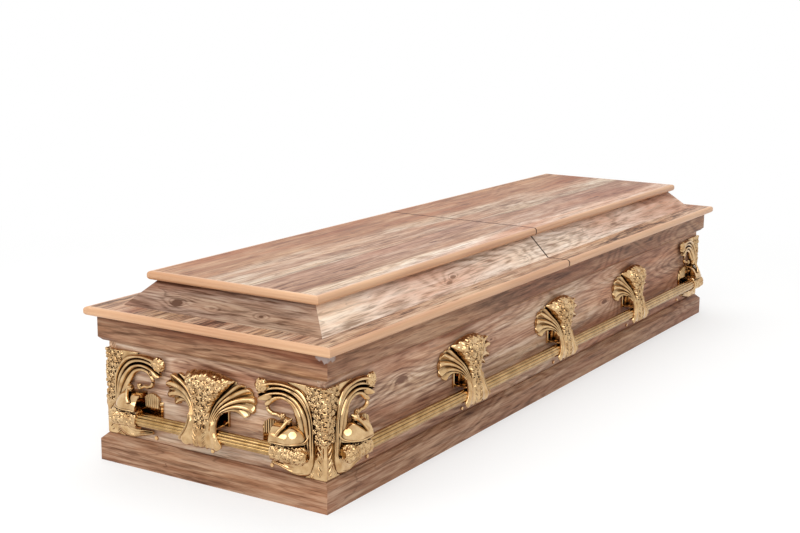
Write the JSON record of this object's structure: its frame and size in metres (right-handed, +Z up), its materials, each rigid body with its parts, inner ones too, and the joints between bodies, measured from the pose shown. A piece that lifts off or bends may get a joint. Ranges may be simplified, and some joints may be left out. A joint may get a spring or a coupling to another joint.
{
  "type": "wooden coffin",
  "caption": "Rectangular wooden coffin with a raised two-leaf lid, plinth and rim mouldings, and gilt cast corners and fan brackets holding reeded carrying bars.",
  "frame": {"origin": "middle of the underside, which rests on the ground", "axes": "+X along the length, +Y across the width, +Z up"},
  "size_m": [2.022, 0.622, 0.39],
  "materials": {
    "board": "wood-print foil on chipboard, satin, pinkish brown with dark streaks and knots",
    "lid_top": "wood-print foil in planks of cream and reddish brown, satin",
    "lipping": "solid light hardwood, rounded and lacquered",
    "casting": "polished gold plate on cast hardware",
    "bar": "reeded brass-plated tube, polished"
  },
  "bodies": {
    "root": {"floor_board": "board", "side_panel_front": "board", "side_panel_back": "board", "end_panel_left": "board", "end_panel_right": "board", "plinth_front": "board", "plinth_back": "board", "plinth_left": "board", "plinth_right": "board", "rim_front": "board", "rim_back": "board", "rim_left": "board", "rim_right": "board", "flange_panel_left": "board", "flange_panel_right": "board", "flange_lipping_left_front": "lipping", "flange_lipping_left_back": "lipping", "flange_lipping_left_end": "lipping", "flange_lipping_right_front": "lipping", "flange_lipping_right_back": "lipping", "flange_lipping_right_end": "lipping", "slope_left_front": "board", "slope_left_back": "board", "slope_left_end": "board", "slope_right_front": "board", "slope_right_back": "board", "slope_right_end": "board", "top_panel_left": "lid_top", "top_panel_right": "lid_top", "top_lipping_left_front": "lipping", "top_lipping_left_back": "lipping", "top_lipping_left_end": "lipping", "top_lipping_right_front": "lipping", "top_lipping_right_back": "lipping", "top_lipping_right_end": "lipping", "bar_front": "bar", "bar_back": "bar", "bar_left": "bar", "bar_right": "bar", "bracket_front_1": "casting", "bracket_front_2": "casting", "bracket_front_3": "casting", "bracket_back_1": "casting", "bracket_back_2": "casting", "bracket_back_3": "casting", "bracket_left": "casting", "bracket_right": "casting", "corner_front_left": "casting", "corner_front_right": "casting", "corner_back_left": "casting", "corner_back_right": "casting"}
  },
  "joints": []
}
